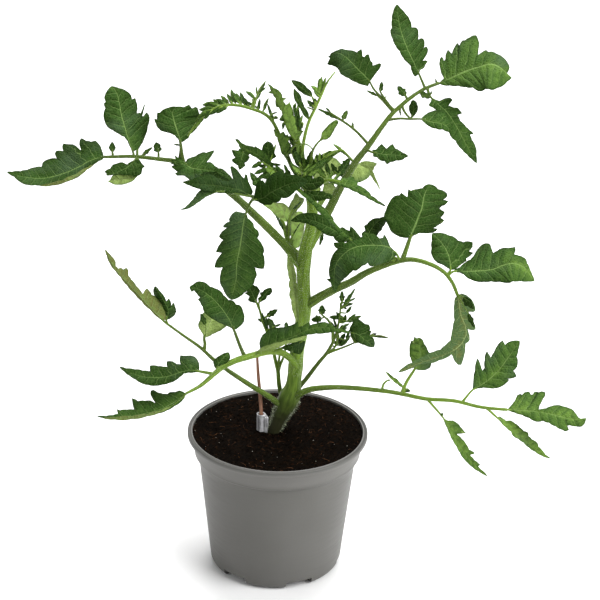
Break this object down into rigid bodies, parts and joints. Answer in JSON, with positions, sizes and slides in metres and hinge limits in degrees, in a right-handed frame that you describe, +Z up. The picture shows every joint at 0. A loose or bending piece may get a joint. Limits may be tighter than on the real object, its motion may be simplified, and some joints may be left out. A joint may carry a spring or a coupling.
{
  "type": "tomato plant in a pot",
  "caption": "Young tomato plant with lobed compound leaves, side shoots and a soft growing tip, rooted in soil in a grey plastic nursery pot.",
  "frame": {"origin": "on the pot's axis, in the plane of the surface that the pot stands on", "axes": "+Z up along the pot's axis, +X to the right and +Y away as seen from the front"},
  "size_m": [0.4034, 0.1571, 0.4015],
  "materials": {
    "pot_plastic": "satin",
    "soil": "matte",
    "stem_green": "satin",
    "leaf_green": "satin",
    "young_green": "satin",
    "stick_wood": "matte",
    "clip_silicone": "satin"
  },
  "bodies": {
    "root": {"pot": "pot_plastic", "soil": "soil", "main_stem": "stem_green", "support_stick": "stick_wood", "graft_clip": "clip_silicone", "leaf_upper_left": "leaf_green", "leaf_front": "leaf_green", "leaf_upper_right": "leaf_green", "leaf_right_middle": "leaf_green", "leaf_right_low": "leaf_green", "leaf_left_low_long": "leaf_green", "leaf_left_low_front": "leaf_green", "leaf_behind": "leaf_green", "leaf_pale": "leaf_green", "leaf_folded": "leaf_green", "side_shoot_left": "young_green", "side_shoot_right": "young_green", "young_leaf_arching": "young_green", "young_leaf_left": "young_green", "young_leaf_right": "young_green", "growing_tip": "young_green"}
  },
  "joints": []
}
